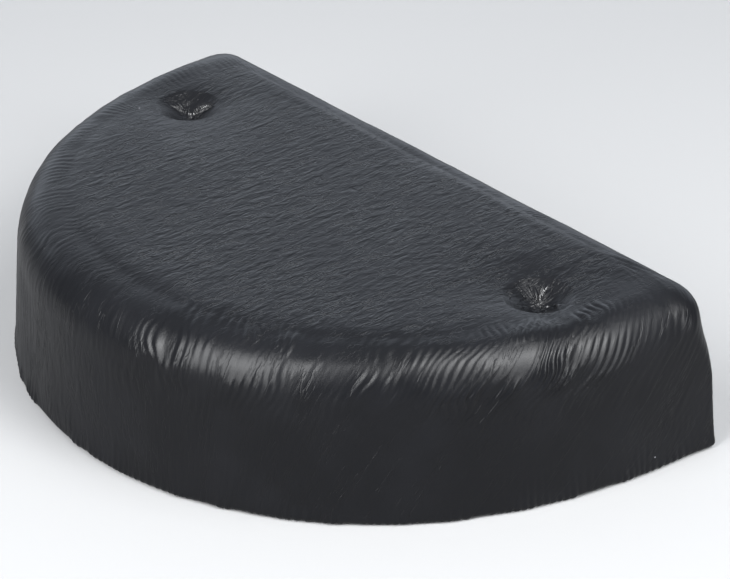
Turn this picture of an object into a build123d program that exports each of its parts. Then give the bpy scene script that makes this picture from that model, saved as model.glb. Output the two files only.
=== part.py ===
"""Upholstered D-shaped armrest pad: a plywood base, a foam core and a vinyl cover that is
pulled down at two tufts, turned under the base and stapled. Two tee nuts take the bolts.

Frame: +X along the straight back edge, +Y towards that edge, +Z up. The origin is under the
middle of the pad's bounding box, on the plane that the pad rests on. Sizes in millimetres."""
from build123d import *
from math import atan2, cos, degrees, pi, sin
import os

os.makedirs("parts", exist_ok=True)

# ---- overall shape -------------------------------------------------------------------------
pad_length = 230.0          # along the straight back edge
pad_depth = 140.0           # from the back edge to the middle of the curved front
pad_height = 50.0
curve_fullness = 2.3        # exponent of the plan curve: 2 is an ellipse, more is squarer
wall_lean = 3.5             # how far the curved wall leans in between bottom and top
top_edge_radius = 13.0
bottom_edge_radius = 1.5

# ---- sheets and panels ---------------------------------------------------------------------
vinyl_thickness = 1.1
dust_cover_thickness = 0.5
board_thickness = 12.0
board_gap = 0.1             # between the board's edge and the cover
board_corner_radius = 2.5   # of the board's two square corners
foam_gap = 0.1              # between the foam and the cover
hem_width = 26.0            # of the cover that is turned under the board
dust_cover_inset = 10.0     # from the pad's edge to the dust cover's edge

# ---- tufts and the tapes that hold them down -----------------------------------------------
tuft_spacing = 160.0
tuft_from_back = 38.0
tuft_depth = 20.0
tuft_mouth_radius = 10.0
tuft_floor_radius = 6.0
tuft_edge_radius = 4.5      # rounding of the vinyl where it dips in
tape_width = 10.0
tape_thickness = 1.0
tape_tail = 24.0            # length of tape that lies flat under the board
slot_width = 3.0            # of the slot in the board, across the tape
slot_end_gap = 1.0
foam_slot_gap = 0.4

# ---- staples: a flat wire, one crown and two legs ------------------------------------------
staple_crown = 9.5
staple_leg = 8.0
staple_wire = 0.8
staple_wire_thickness = 0.5
hem_staple_inset = 20.0
hem_staple_pitch = 14.0
dust_staple_inset = 14.0
dust_staple_pitch = 32.0
tape_staples = 2
tape_staple_pitch = 7.0
tape_staple_start = 9.0     # from the tuft's axis to the first staple

# ---- tee nuts, M6 --------------------------------------------------------------------------
mount_spacing = 120.0
mount_from_back = 65.0
thread_radius = 2.5         # M6 at the crests of the nut's thread
barrel_radius = 3.85
barrel_length = 9.0         # below the flange
flange_radius = 9.5
flange_thickness = 1.3
prong_count = 4
prong_circle_radius = 8.2
prong_width = 3.0
prong_thickness = 1.3
prong_length = 6.0
barrel_hole_gap = 0.15
flange_pocket_gap = 0.2
bolt_access_radius = 8.0    # hole in the dust cover under each tee nut

# ---- levels, from the resting plane up -----------------------------------------------------
hem_bottom = dust_cover_thickness
board_bottom = hem_bottom + vinyl_thickness
board_top = board_bottom + board_thickness
cover_underside = pad_height - vinyl_thickness
back_y = pad_depth / 2
tuft_y = back_y - tuft_from_back
mount_y = back_y - mount_from_back
tuft_sides = {"left": -tuft_spacing / 2, "right": tuft_spacing / 2}
mount_sides = {"left": -mount_spacing / 2, "right": mount_spacing / 2}
curve_steps = 12            # spans of the spline through the plan curve


def plan_curve(inset, lean=0.0):
    """Spline through x = a cos t, y = back - d (sin t)^(2/n), from the right end to the left.

    It stands inset from the pad's edge all round, and lean further in along the curve."""
    half = pad_length / 2 - inset - lean
    depth = pad_depth - 2 * inset - lean
    angles = [pi * step / curve_steps for step in range(curve_steps + 1)]
    points = [(half * cos(a), back_y - inset - depth * abs(sin(a)) ** (2 / curve_fullness)) for a in angles]
    return Spline(*points)


def plan_face(inset, lean=0.0):
    """The D-shaped face, drawn in the sketch that is open."""
    with BuildLine() as outline:
        curve = plan_curve(inset, lean)
        Line(curve @ 1, curve @ 0)
    make_face(outline.edges())


def lean_at(level):
    """How far the curved wall has leaned in at this level."""
    return wall_lean * (level - hem_bottom) / (pad_height - hem_bottom)


def domed_block(inset, bottom, top, edge_radius):
    """The pad's leaning block between two levels, with its top edge rounded."""
    with BuildPart() as block:
        with BuildSketch(Plane.XY.offset(bottom)):
            plan_face(inset, lean_at(bottom))
        with BuildSketch(Plane.XY.offset(top)):
            plan_face(inset, lean_at(top))
        loft()
        fillet(block.faces().sort_by(Axis.Z)[-1].edges(), edge_radius)
    return block.part


def tuft_funnels(growth, top):
    """Two funnels to cut from a block whose top face is at this level.

    growth widens and deepens them, so that the cut in the foam clears the vinyl."""
    floor = pad_height - tuft_depth - growth
    mouth = tuft_mouth_radius + growth
    neck = tuft_floor_radius + growth
    flare = tuft_edge_radius - growth
    with BuildPart() as funnels:
        for side in tuft_sides.values():
            with BuildSketch(Plane.XZ.offset(-tuft_y)):
                with BuildLine():
                    Polyline((side, floor), (side + neck, floor), (side + mouth, top - flare))
                    RadiusArc((side + mouth, top - flare), (side + mouth + flare, top), flare)
                    Polyline((side + mouth + flare, top), (side, top), (side, floor))
                make_face()
            revolve(axis=Axis((side, tuft_y, 0), (0, 0, 1)))
    return funnels.part


def staple_places(inset, pitch):
    """Where staples stand along the curve and the back edge, at this inset from the pad's edge."""
    with BuildLine() as route:
        curve = plan_curve(inset)
    edge = route.edges()[0]
    count = max(2, round(edge.length / pitch))
    places = []
    for index in range(count):
        along = (index + 0.5) / count
        direction = edge % along
        places.append(Location(edge @ along, (0, 0, degrees(atan2(direction.Y, direction.X)))))
    back_length = pad_length - 2 * inset - staple_crown
    back_count = max(2, round(back_length / pitch))
    for index in range(back_count):
        x = back_length * ((index + 0.5) / back_count - 0.5)
        places.append(Location((x, back_y - inset, 0)))
    return places


def staple(crown_level):
    """One staple with its crown along X at this level and its legs up."""
    with BuildPart() as wire:
        with Locations((0, 0, crown_level)):
            Box(staple_crown, staple_wire, staple_wire_thickness, align=(Align.CENTER, Align.CENTER, Align.MIN))
        leg_x = (staple_crown - staple_wire_thickness) / 2
        with Locations((-leg_x, 0, crown_level), (leg_x, 0, crown_level)):
            Box(staple_wire_thickness, staple_wire, staple_leg, align=(Align.CENTER, Align.CENTER, Align.MIN))
    return wire.part


# ---- staples -------------------------------------------------------------------------------
with BuildPart() as hem_staples:
    with Locations(*staple_places(hem_staple_inset, hem_staple_pitch)):
        add(staple(hem_bottom))

with BuildPart() as dust_cover_staples:
    with Locations(*staple_places(dust_staple_inset, dust_staple_pitch)):
        add(staple(0))

tape_bottom = board_bottom - tape_thickness
tape_staple_places = []
for side in tuft_sides.values():
    inwards = -1 if side > 0 else 1
    for index in range(tape_staples):
        x = side + inwards * (tape_staple_start + index * tape_staple_pitch)
        tape_staple_places.append(Location((x, tuft_y, 0), (0, 0, 90)))

with BuildPart() as tuft_tape_staples:
    with Locations(*tape_staple_places):
        add(staple(tape_bottom))

# ---- tufting tapes: sewn to the pinched vinyl, down through the board and flat under it -----
tape_top = pad_height - tuft_depth - vinyl_thickness
tape_inner_bend = (slot_width - tape_thickness) / 2
tape_outer_bend = tape_inner_bend + tape_thickness


def tuft_tape(side):
    """A flat tape: straight down at the tuft, round the slot's edge, and inwards under the board."""
    inwards = -1 if side > 0 else 1
    inner_x = side + inwards * tape_thickness / 2
    outer_x = side - inwards * tape_thickness / 2
    bend_x = inner_x + inwards * tape_inner_bend
    bend_z = board_bottom + tape_inner_bend
    tail_x = side + inwards * tape_tail
    with BuildPart() as tape:
        with BuildSketch(Plane.XZ.offset(-tuft_y)):
            with BuildLine():
                Line((outer_x, bend_z), (outer_x, tape_top))
                Line((outer_x, tape_top), (inner_x, tape_top))
                Line((inner_x, tape_top), (inner_x, bend_z))
                RadiusArc((inner_x, bend_z), (bend_x, board_bottom), -inwards * tape_inner_bend)
                Line((bend_x, board_bottom), (tail_x, board_bottom))
                Line((tail_x, board_bottom), (tail_x, tape_bottom))
                Line((tail_x, tape_bottom), (bend_x, tape_bottom))
                RadiusArc((bend_x, tape_bottom), (outer_x, bend_z), inwards * tape_outer_bend)
            make_face()
        extrude(amount=tape_width / 2, both=True)
        add(tuft_tape_staples.part, mode=Mode.SUBTRACT)
    return tape


tuft_tape_left = tuft_tape(tuft_sides["left"])
tuft_tape_right = tuft_tape(tuft_sides["right"])


# ---- tee nuts: flange on the board, threaded barrel and prongs down into it -----------------
def tee_nut(x):
    """A tee nut standing at x, its flange resting on the board's top face."""
    nut_plane = Plane((x, mount_y, board_top))
    with BuildPart() as nut:
        with BuildSketch(nut_plane):
            Circle(flange_radius)
        extrude(amount=flange_thickness)
        with BuildSketch(nut_plane):
            Circle(barrel_radius)
        extrude(amount=-barrel_length)
        for index in range(prong_count):
            turn = 2 * pi * index / prong_count
            outward = Vector(cos(turn), sin(turn), 0)
            root = nut_plane.origin + outward * prong_circle_radius
            with BuildSketch(Plane(root, x_dir=(-sin(turn), cos(turn), 0), z_dir=outward)):
                half = prong_width / 2
                shoulder = prong_width - prong_length
                Polygon((half, 0), (-half, 0), (-half, shoulder), (0, -prong_length), (half, shoulder), align=None)
            extrude(amount=-prong_thickness)
        with BuildSketch(nut_plane.offset(flange_thickness)):
            Circle(thread_radius)
        extrude(amount=-flange_thickness - barrel_length, mode=Mode.SUBTRACT)
    return nut


tee_nut_left = tee_nut(mount_sides["left"])
tee_nut_right = tee_nut(mount_sides["right"])

# ---- plywood base: holes for the barrels, slots for the tapes, and what is driven into it ---
mount_points = [(x, mount_y) for x in mount_sides.values()]
tuft_points = [(x, tuft_y) for x in tuft_sides.values()]

with BuildPart() as base_board:
    with BuildSketch(Plane.XY.offset(board_bottom)):
        plan_face(vinyl_thickness + board_gap, lean_at(board_top))
        with Locations(*mount_points):
            Circle(barrel_radius + barrel_hole_gap, mode=Mode.SUBTRACT)
        with Locations(*tuft_points):
            Rectangle(slot_width, tape_width + 2 * slot_end_gap, mode=Mode.SUBTRACT)
    extrude(amount=board_thickness)
    fillet(base_board.edges().filter_by(Axis.Z).group_by(Axis.Y)[-1], board_corner_radius)
    for driven in (hem_staples, dust_cover_staples, tuft_tape_staples, tee_nut_left, tee_nut_right):
        add(driven.part, mode=Mode.SUBTRACT)

# ---- foam core: rests on the board and the flanges, with a funnel and a slot at each tuft ---
foam_inset = vinyl_thickness + foam_gap
foam_top = cover_underside - foam_gap

with BuildPart() as foam_core:
    add(domed_block(foam_inset, board_top, foam_top, top_edge_radius - foam_inset))
    add(tuft_funnels(foam_inset, foam_top), mode=Mode.SUBTRACT)
    with BuildSketch(Plane.XY.offset(board_top)):
        with Locations(*tuft_points):
            Rectangle(tape_thickness + 2 * foam_slot_gap, tape_width + 2 * foam_slot_gap)
    extrude(amount=tape_top - board_top, mode=Mode.SUBTRACT)
    with BuildSketch(Plane.XY.offset(board_top)):
        with Locations(*mount_points):
            Circle(flange_radius + flange_pocket_gap)
    extrude(amount=flange_thickness + flange_pocket_gap, mode=Mode.SUBTRACT)

# ---- vinyl cover: a skin with two funnels, turned under the board as a hem ------------------
with BuildPart() as cover_hollow:
    inner_edge = top_edge_radius - vinyl_thickness
    add(domed_block(vinyl_thickness, board_bottom, cover_underside, inner_edge))
    add(tuft_funnels(vinyl_thickness, cover_underside), mode=Mode.SUBTRACT)

with BuildPart() as vinyl_cover:
    add(domed_block(0, hem_bottom, pad_height, top_edge_radius))
    fillet(vinyl_cover.faces().sort_by(Axis.Z)[0].edges(), bottom_edge_radius)
    add(tuft_funnels(0, pad_height), mode=Mode.SUBTRACT)
    add(cover_hollow.part, mode=Mode.SUBTRACT)
    with BuildSketch(Plane.XY.offset(hem_bottom)):
        plan_face(hem_width)
    extrude(amount=vinyl_thickness, mode=Mode.SUBTRACT)
    for driven in (hem_staples, dust_cover_staples):
        add(driven.part, mode=Mode.SUBTRACT)

# ---- dust cover: closes the underside, open under each tee nut ------------------------------
with BuildPart() as dust_cover:
    with BuildSketch():
        plan_face(dust_cover_inset)
        with Locations(*mount_points):
            Circle(bolt_access_radius, mode=Mode.SUBTRACT)
    extrude(amount=dust_cover_thickness)
    add(dust_cover_staples.part, mode=Mode.SUBTRACT)

pieces = {
    "base_board": base_board,
    "foam_core": foam_core,
    "vinyl_cover": vinyl_cover,
    "dust_cover": dust_cover,
    "hem_staples": hem_staples,
    "dust_cover_staples": dust_cover_staples,
    "tuft_tape_left": tuft_tape_left,
    "tuft_tape_right": tuft_tape_right,
    "tuft_tape_staples": tuft_tape_staples,
    "tee_nut_left": tee_nut_left,
    "tee_nut_right": tee_nut_right,
}
for name, piece in pieces.items():
    piece.part.label = name
    export_step(piece.part, f"parts/{name}.step")
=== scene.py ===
import math

import bmesh
import bpy
import numpy as np
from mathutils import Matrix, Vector


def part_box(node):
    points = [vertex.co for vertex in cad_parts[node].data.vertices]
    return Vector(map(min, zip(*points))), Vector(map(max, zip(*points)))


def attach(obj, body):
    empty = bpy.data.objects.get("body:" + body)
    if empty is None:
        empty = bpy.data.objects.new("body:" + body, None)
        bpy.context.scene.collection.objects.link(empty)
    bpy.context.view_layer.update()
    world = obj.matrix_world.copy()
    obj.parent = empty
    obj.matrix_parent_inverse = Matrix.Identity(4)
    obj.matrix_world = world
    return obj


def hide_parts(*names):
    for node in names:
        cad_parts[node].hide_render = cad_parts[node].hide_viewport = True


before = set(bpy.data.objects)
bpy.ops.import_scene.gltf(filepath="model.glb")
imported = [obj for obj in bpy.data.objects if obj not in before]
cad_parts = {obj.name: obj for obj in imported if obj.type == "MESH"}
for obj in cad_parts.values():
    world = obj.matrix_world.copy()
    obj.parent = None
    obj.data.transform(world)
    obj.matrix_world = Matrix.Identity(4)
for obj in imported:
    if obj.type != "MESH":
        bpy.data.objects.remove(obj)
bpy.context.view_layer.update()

bl_info = {
    "name": "Armrest Pad",
    "version": (1, 0, 0),
    "blender": (4, 5, 0),
    "location": "View3D > Sidebar > Armrest Pad",
    "description": "Builds the looks of a D-shaped upholstered armrest pad round its CAD frame",
    "category": "Object",
}

MM = 0.001
COVER_LOW, COVER_HIGH = (np.array(corner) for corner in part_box("vinyl_cover"))
DUST_LOW, DUST_HIGH = (np.array(corner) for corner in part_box("dust_cover"))
BOARD_LOW, BOARD_HIGH = (np.array(corner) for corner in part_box("base_board"))
TAPE_LOW, TAPE_HIGH = (np.array(corner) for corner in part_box("tuft_tape_right"))
NUT_LOW, NUT_HIGH = (np.array(corner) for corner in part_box("tee_nut_right"))

HALF_LENGTH = (COVER_HIGH[0] - COVER_LOW[0]) / 2
BACK_Y = COVER_HIGH[1]
DEPTH = COVER_HIGH[1] - COVER_LOW[1]
TOP_Z = COVER_HIGH[2]
HEM_Z = COVER_LOW[2]
CURVE_FULLNESS = 2.3        # exponent of the plan curve: 2 is an ellipse, more is squarer
TAPE_THICKNESS = 1.0 * MM
TUFT_X = TAPE_HIGH[0] - TAPE_THICKNESS / 2
TUFT_Y = (TAPE_LOW[1] + TAPE_HIGH[1]) / 2
NUT_X = (NUT_LOW[0] + NUT_HIGH[0]) / 2
NUT_Y = (NUT_LOW[1] + NUT_HIGH[1]) / 2


# ------------------------------------------------------------------------------ settings
class PadCoverSettings(bpy.types.PropertyGroup):
    """Sizes and colour of the vinyl cover."""

    front_radius: bpy.props.FloatProperty(
        name="Front edge radius", description="Rounding between the curved wall and the top",
        default=13.5 * MM, unit="LENGTH")
    back_radius: bpy.props.FloatProperty(
        name="Back edge radius", description="Rounding between the back wall and the top",
        default=7.8 * MM, unit="LENGTH")
    wall_lean: bpy.props.FloatProperty(
        name="Wall lean", description="How far the curved wall leans in at the top",
        default=3.5 * MM, unit="LENGTH")
    tuft_depth: bpy.props.FloatProperty(
        name="Tuft depth", description="How deep the cover is pulled down", default=5.0 * MM, unit="LENGTH")
    tuft_radius: bpy.props.FloatProperty(
        name="Tuft radius", description="Radius of the mouth of each tuft", default=10.5 * MM, unit="LENGTH")
    tuft_dish: bpy.props.FloatProperty(
        name="Tuft dish", description="Depth of the soft hollow round each tuft",
        default=2.3 * MM, unit="LENGTH")
    fold_count: bpy.props.IntProperty(
        name="Tuft folds", description="Pleats that gather into each tuft", default=15, min=5, max=40)
    fold_height: bpy.props.FloatProperty(
        name="Fold height", description="Height of the pleats in a tuft", default=1.8 * MM, unit="LENGTH")
    wrinkle_height: bpy.props.FloatProperty(
        name="Wrinkle height", description="Height of the creases over the rounded edge",
        default=0.85 * MM, unit="LENGTH")
    wrinkle_pitch: bpy.props.FloatProperty(
        name="Wrinkle pitch", description="From one crease to the next over the rounded edge",
        default=2.8 * MM, unit="LENGTH")
    gather_height: bpy.props.FloatProperty(
        name="Gather height", description="Height of the pleats along the lower edge",
        default=0.80 * MM, unit="LENGTH")
    corner_flare: bpy.props.FloatProperty(
        name="Corner flare", description="How far the folded hem stands out at the two back corners",
        default=1.8 * MM, unit="LENGTH")
    colour: bpy.props.FloatVectorProperty(
        name="Vinyl colour", description="Colour of the coated fabric", subtype="COLOR",
        default=(0.0040, 0.0043, 0.0058), min=0, max=1)


class PadInsideSettings(bpy.types.PropertyGroup):
    """Sizes and colours of what is under and inside the cover."""

    dust_cloth_colour: bpy.props.FloatVectorProperty(
        name="Dust cloth colour", description="Colour of the non-woven cloth under the pad",
        subtype="COLOR", default=(0.016, 0.016, 0.017), min=0, max=1)
    bolt_hole_radius: bpy.props.FloatProperty(
        name="Bolt hole radius", description="Holes in the dust cloth under the tee nuts",
        default=8.0 * MM, unit="LENGTH")
    tape_colour: bpy.props.FloatVectorProperty(
        name="Tape colour", description="Colour of the cotton tufting tape", subtype="COLOR",
        default=(0.62, 0.57, 0.46), min=0, max=1)
    foam_colour: bpy.props.FloatVectorProperty(
        name="Foam colour", description="Colour of the foam core", subtype="COLOR",
        default=(0.78, 0.69, 0.47), min=0, max=1)
    wood_colour: bpy.props.FloatVectorProperty(
        name="Plywood colour", description="Colour of the board's face veneer", subtype="COLOR",
        default=(0.50, 0.34, 0.18), min=0, max=1)


class PadStageSettings(bpy.types.PropertyGroup):
    """Floor, lights and camera."""

    azimuth: bpy.props.FloatProperty(
        name="Azimuth", description="Camera's turn round the pad, from the front", subtype="ANGLE",
        default=math.radians(49.2))
    elevation: bpy.props.FloatProperty(
        name="Elevation", description="Camera's height above the horizon", subtype="ANGLE",
        default=math.radians(29.5))
    distance: bpy.props.FloatProperty(
        name="Distance", description="From the camera to its target", default=0.92, unit="LENGTH")
    lens: bpy.props.FloatProperty(
        name="Lens", description="Focal length", default=151.5, unit="CAMERA")
    target: bpy.props.FloatVectorProperty(
        name="Target", description="Point that the camera looks at", subtype="XYZ",
        default=(0.0110, 0.02705, 0.0230))
    floor_colour: bpy.props.FloatVectorProperty(
        name="Floor colour", description="Colour of the studio floor", subtype="COLOR",
        default=(0.52, 0.52, 0.522), min=0, max=1)


# ------------------------------------------------------------------------------ number fields
def lattice_values(ix, iy, seed):
    """A fixed pseudo-random number from 0 to 1 for each whole-number lattice point.

    The sine of a weighted sum of the coordinates, times a large number, keeps its fraction."""
    value = np.sin(ix * 127.1 + iy * 311.7 + seed * 74.7) * 43758.5453
    return value - np.floor(value)


def smooth_noise(x, y, seed=0, around=None):
    """Value noise: lattice values blended with a quintic ease, from -1 to 1.

    With around, x repeats after that many whole numbers, so a ring closes on itself."""
    left, low = np.floor(x), np.floor(y)
    fx, fy = x - left, y - low
    ex = fx ** 3 * (fx * (fx * 6 - 15) + 10)
    ey = fy ** 3 * (fy * (fy * 6 - 15) + 10)
    right = left + 1
    if around:
        left, right = left % around, right % around
    near = lattice_values(left, low, seed) * (1 - ex) + lattice_values(right, low, seed) * ex
    far = lattice_values(left, low + 1, seed) * (1 - ex) + lattice_values(right, low + 1, seed) * ex
    return 2 * (near * (1 - ey) + far * ey) - 1


def ease(x, low, high):
    """Rises smoothly from 0 at low to 1 at high."""
    t = np.clip((x - low) / (high - low), 0, 1)
    return t * t * (3 - 2 * t)


def ring_puffs(turn, along, cells, length, seed, bend=1.1):
    """Rounded puffs with narrow valleys between them, from 0 to about 1, right round a closed
    outline.

    The absolute sine of the turn, bent by noise, times a height that differs from puff to puff."""
    broad = max(8, cells // 4)
    shift = smooth_noise(turn * broad, along / length, seed + 11, broad) * bend
    wave = np.abs(np.sin(math.pi * (turn * cells + shift)))
    several = max(8, cells // 2)
    size = 0.62 + 0.75 * smooth_noise(turn * several, along / (length * 0.8), seed, several)
    return np.sqrt(wave ** 2 + 0.01) * np.clip(size, 0.05, 1.1)


def spline_taps(place, count, wrap):
    """Indices and weights of the four neighbours that a cubic B-spline blends at each place."""
    base = np.floor(place).astype(int)
    f = place - base
    weights = np.stack([(1 - f) ** 3, 3 * f ** 3 - 6 * f ** 2 + 4,
                        -3 * f ** 3 + 3 * f ** 2 + 3 * f + 1, f ** 3]) / 6
    taps = base + np.arange(-1, 3)[:, None]
    return (taps % count if wrap else np.clip(taps, 0, count - 1)), weights


def resample(grid, row_places, column_places):
    """A coarse grid of vectors, closed along its columns, read smoothly at finer places."""
    taps, weights = spline_taps(row_places, grid.shape[0], False)
    rows = sum(grid[tap] * weight[:, None, None] for tap, weight in zip(taps, weights))
    taps, weights = spline_taps(column_places, grid.shape[1], True)
    return sum(rows[:, tap] * weight[None, :, None] for tap, weight in zip(taps, weights))


# ------------------------------------------------------------------------------ plan of the pad
CENTRE = (0.0, TUFT_Y)      # where the rings of every D-shaped grid close up
PLAN_START = math.pi / 2    # the grids' columns start at the middle of the back edge
PLAN_STEPS = 7200


def plan_reach(angle, inset, lean, corner, centre=CENTRE):
    """Distance from centre to the pad's outline along each angle, by bisection.

    The outline is where the rounded intersection of two half spaces is zero: the curved wall,
    (x/half)^2 + (depth from the back / depth)^n = 1, and the straight back edge."""
    half = HALF_LENGTH - inset - lean
    depth = DEPTH - 2 * inset - lean
    back = BACK_Y - inset
    low = np.zeros(np.broadcast_shapes(np.shape(angle), np.shape(inset), np.shape(corner)))
    high = low + 2 * HALF_LENGTH
    cos_a, sin_a = np.cos(angle), np.sin(angle)
    for _ in range(30):
        middle = (low + high) / 2
        x, y = centre[0] + middle * cos_a, centre[1] + middle * sin_a
        from_back = np.maximum(back - y, 0)
        level = np.sqrt((x / half) ** 2 + (from_back / depth) ** CURVE_FULLNESS) + 1e-9
        across = 2 * x / half ** 2
        down = CURVE_FULLNESS * from_back ** (CURVE_FULLNESS - 1) / depth ** CURVE_FULLNESS
        wall = (level - 1) * 2 * level / np.maximum(np.hypot(across, down), 1e-6)
        edge = y - back
        inside = np.minimum(np.maximum(wall, edge), -corner)
        outside = np.hypot(np.maximum(wall + corner, 0), np.maximum(edge + corner, 0))
        beyond = inside + outside > 0
        high = np.where(beyond, middle, high)
        low = np.where(beyond, low, middle)
    return (low + high) / 2


def even_columns(count, crowd):
    """Angles whose points stand evenly along the outline, closer together towards the tufts,
    with the share of the way round at each.

    The cumulative length of a fine outline, weighted by crowd, is cut into equal parts."""
    fine = np.linspace(PLAN_START, PLAN_START + 2 * math.pi, PLAN_STEPS + 1)
    reach = plan_reach(fine, 0.0, 0.0, 2 * MM)
    step = np.hypot(np.diff(reach * np.cos(fine)), np.diff(reach * np.sin(fine)))
    middle = (fine[1:] + fine[:-1]) / 2
    weight = 1 + crowd * np.exp(-(np.sin(middle) / 0.27) ** 2)
    weighted = np.concatenate([[0], np.cumsum(step * weight)])
    length = np.concatenate([[0], np.cumsum(step)])
    wanted = np.arange(count) / count * weighted[-1]
    angle = np.interp(wanted, weighted, fine)
    return angle, np.interp(wanted, weighted, length) / length[-1], length[-1]


# ------------------------------------------------------------------------------ mesh helpers
def grid_faces(rows, columns, wrap=True, first=0):
    """Quads between neighbouring rows and columns of a grid numbered row by row."""
    last = columns if wrap else columns - 1
    row, column = np.meshgrid(np.arange(rows - 1), np.arange(last), indexing="ij")
    after = (column + 1) % columns
    quads = np.stack([row * columns + column, row * columns + after,
                      (row + 1) * columns + after, (row + 1) * columns + column], axis=-1)
    return quads.reshape(-1, 4) + first


def fan_faces(first, count, pole):
    """Triangles from each edge of a closed ring to a pole."""
    ring = np.arange(count)
    return np.stack([first + ring, first + (ring + 1) % count, np.full(count, pole)], axis=-1)


def ring_faces(coarse, fine, count):
    """Triangles from a ring of count points to a ring of twice as many."""
    here = np.arange(count)
    after = (here + 1) % count
    near, middle, far = fine + 2 * here, fine + 2 * here + 1, fine + (2 * here + 2) % (2 * count)
    return np.concatenate([np.stack([coarse + here, middle, near], axis=-1),
                           np.stack([coarse + here, coarse + after, middle], axis=-1),
                           np.stack([coarse + after, far, middle], axis=-1)])


def make_mesh(name, points, faces):
    """A smooth-shaded mesh from an array of points and a list of arrays of faces."""
    mesh = bpy.data.meshes.new(name)
    loops = np.concatenate([np.asarray(group).ravel() for group in faces])
    sizes = np.concatenate([np.full(len(group), group.shape[1]) for group in faces])
    mesh.vertices.add(len(points))
    mesh.vertices.foreach_set("co", np.ascontiguousarray(points, dtype=np.float32).ravel())
    mesh.loops.add(len(loops))
    mesh.loops.foreach_set("vertex_index", loops.astype(np.int32))
    mesh.polygons.add(len(sizes))
    starts = np.concatenate([[0], np.cumsum(sizes)[:-1]])
    mesh.polygons.foreach_set("loop_start", starts.astype(np.int32))
    mesh.polygons.foreach_set("loop_total", sizes.astype(np.int32))
    mesh.update(calc_edges=True)
    mesh.validate()
    mesh.shade_smooth()
    return mesh


def make_piece(name, points, faces, node, material):
    """A finished piece that rides on the root body and stands for a CAD node."""
    piece = bpy.data.objects.new(name, make_mesh(name, points, faces))
    bpy.context.scene.collection.objects.link(piece)
    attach(piece, "root")
    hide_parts(node)
    piece.data.materials.append(material)
    return piece


def grid_normals(points):
    """Unit normals of a grid that is closed along its columns, from central differences."""
    along = np.roll(points, -1, axis=1) - np.roll(points, 1, axis=1)
    up = np.gradient(points, axis=0)
    normal = np.cross(along, up)
    return normal / np.maximum(np.linalg.norm(normal, axis=-1, keepdims=True), 1e-12)


def vertex_values(piece, name, values, kind="FLOAT"):
    """Stores a number or a vector for each vertex, for a material to read."""
    layer = piece.data.attributes.new(name, kind, "POINT")
    field = "value" if kind == "FLOAT" else "vector"
    layer.data.foreach_set(field, np.ascontiguousarray(values, dtype=np.float32).ravel())


# ------------------------------------------------------------------------------ vinyl cover
EDGE_ROUND = 1.5 * MM       # where the cover turns under the board
HEM_WIDTH = 26 * MM
SHARP_CORNER = 1.2 * MM     # plan radius of the two back corners at the bottom
SOFT_CORNER = 10 * MM       # and at the top
RIM_POWER = 2.25            # 2 is a round edge, more is squarer
VINYL_THICKNESS = 1.0 * MM
COVER_DETAIL, COVER_COLUMNS = 1.0, 1120
INNER_DETAIL = 0.5
TUFT_CROWD = 1.4            # how much closer together the columns stand towards the tufts


def row_stations(detail):
    """Rows of the profile as stations: 0 to 1 is the hem from its raw edge, 1 to 2 the turn
    under the board, 2 to 3 the wall, 3 to 4 the rounded edge and 4 to 5 the top to its middle.

    The top's rows are closest together from the rounded edge to just past the tufts."""
    counts = [max(4, int(n * detail)) for n in (14, 5, 46, 40)]
    parts = [start + np.arange(n) / n for start, n in enumerate(counts)]
    fine = np.linspace(0, 1, 2001)
    crowd = 1 + 5.0 * ease(fine, 0.0, 0.05) * (1 - ease(fine, 0.30, 0.38))
    travel = np.cumsum(crowd)
    top = max(16, int(128 * detail))
    parts.append(4 + np.interp(np.arange(top) / top * travel[-1], travel, fine))
    return np.concatenate(parts)


def profile(station, radius):
    """Inset, height and share of the way to the middle at each station, for each edge radius.

    The rounded edge is a superellipse quarter: inset = r(1 - cos(a)^(2/p)), rise = r sin(a)^(2/p)."""
    s = station[:, None]
    hem, turn, wall, rim, top = (np.clip(s - start, 0, 1) for start in range(5))
    turn, rim = turn * math.pi / 2, rim * math.pi / 2
    power = 2 / RIM_POWER
    wall_low, wall_high = HEM_Z + EDGE_ROUND, TOP_Z - radius
    inset = np.where(s < 1, HEM_WIDTH + (EDGE_ROUND - HEM_WIDTH) * hem, EDGE_ROUND * (1 - np.sin(turn)))
    inset = np.where(s < 3, inset, radius * (1 - np.abs(np.cos(rim)) ** power))
    height = HEM_Z + EDGE_ROUND * (1 - np.cos(turn)) + (wall_high - wall_low) * wall
    height = height + radius * np.sin(rim) ** power
    return inset + 0 * radius, height, top + 0 * radius


def cover_grid(settings, detail, angle):
    """The cover as a grid of points: each row of the profile carried round the plan outline."""
    station = row_stations(detail)
    back = ease(np.sin(angle) * plan_reach(angle, 0.0, 0.0, 20 * MM), 25 * MM, 37 * MM)
    radius = settings.front_radius + (settings.back_radius - settings.front_radius) * back
    inset, height, share = profile(station, radius[None, :])
    corner = SHARP_CORNER + (SOFT_CORNER - SHARP_CORNER) * ease(height, 22 * MM, TOP_Z - 4 * MM)
    lean = settings.wall_lean * (height - HEM_Z) / (TOP_Z - HEM_Z)
    reach = plan_reach(angle[None, :], inset, lean, corner) * (1 - share)
    x = CENTRE[0] + reach * np.cos(angle)
    y = CENTRE[1] + reach * np.sin(angle)
    return np.stack([x, y, height], axis=-1), station


CONE_TIP = 1.0 * MM         # rounding at the bottom of a tuft
CONE_POWER = 1.12           # 1 is a straight cone
DISH_SPREAD = 1.25          # of the dish, as a share of the tuft's radius
GATHER_BACK = 1.6 * MM      # from a tuft's axis to where its pleats run together
GATHER_LEFT = 1.9 * MM
FOLDS_FACE = 1.95           # the turn, in radians, on which the tallest pleats lie


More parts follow.
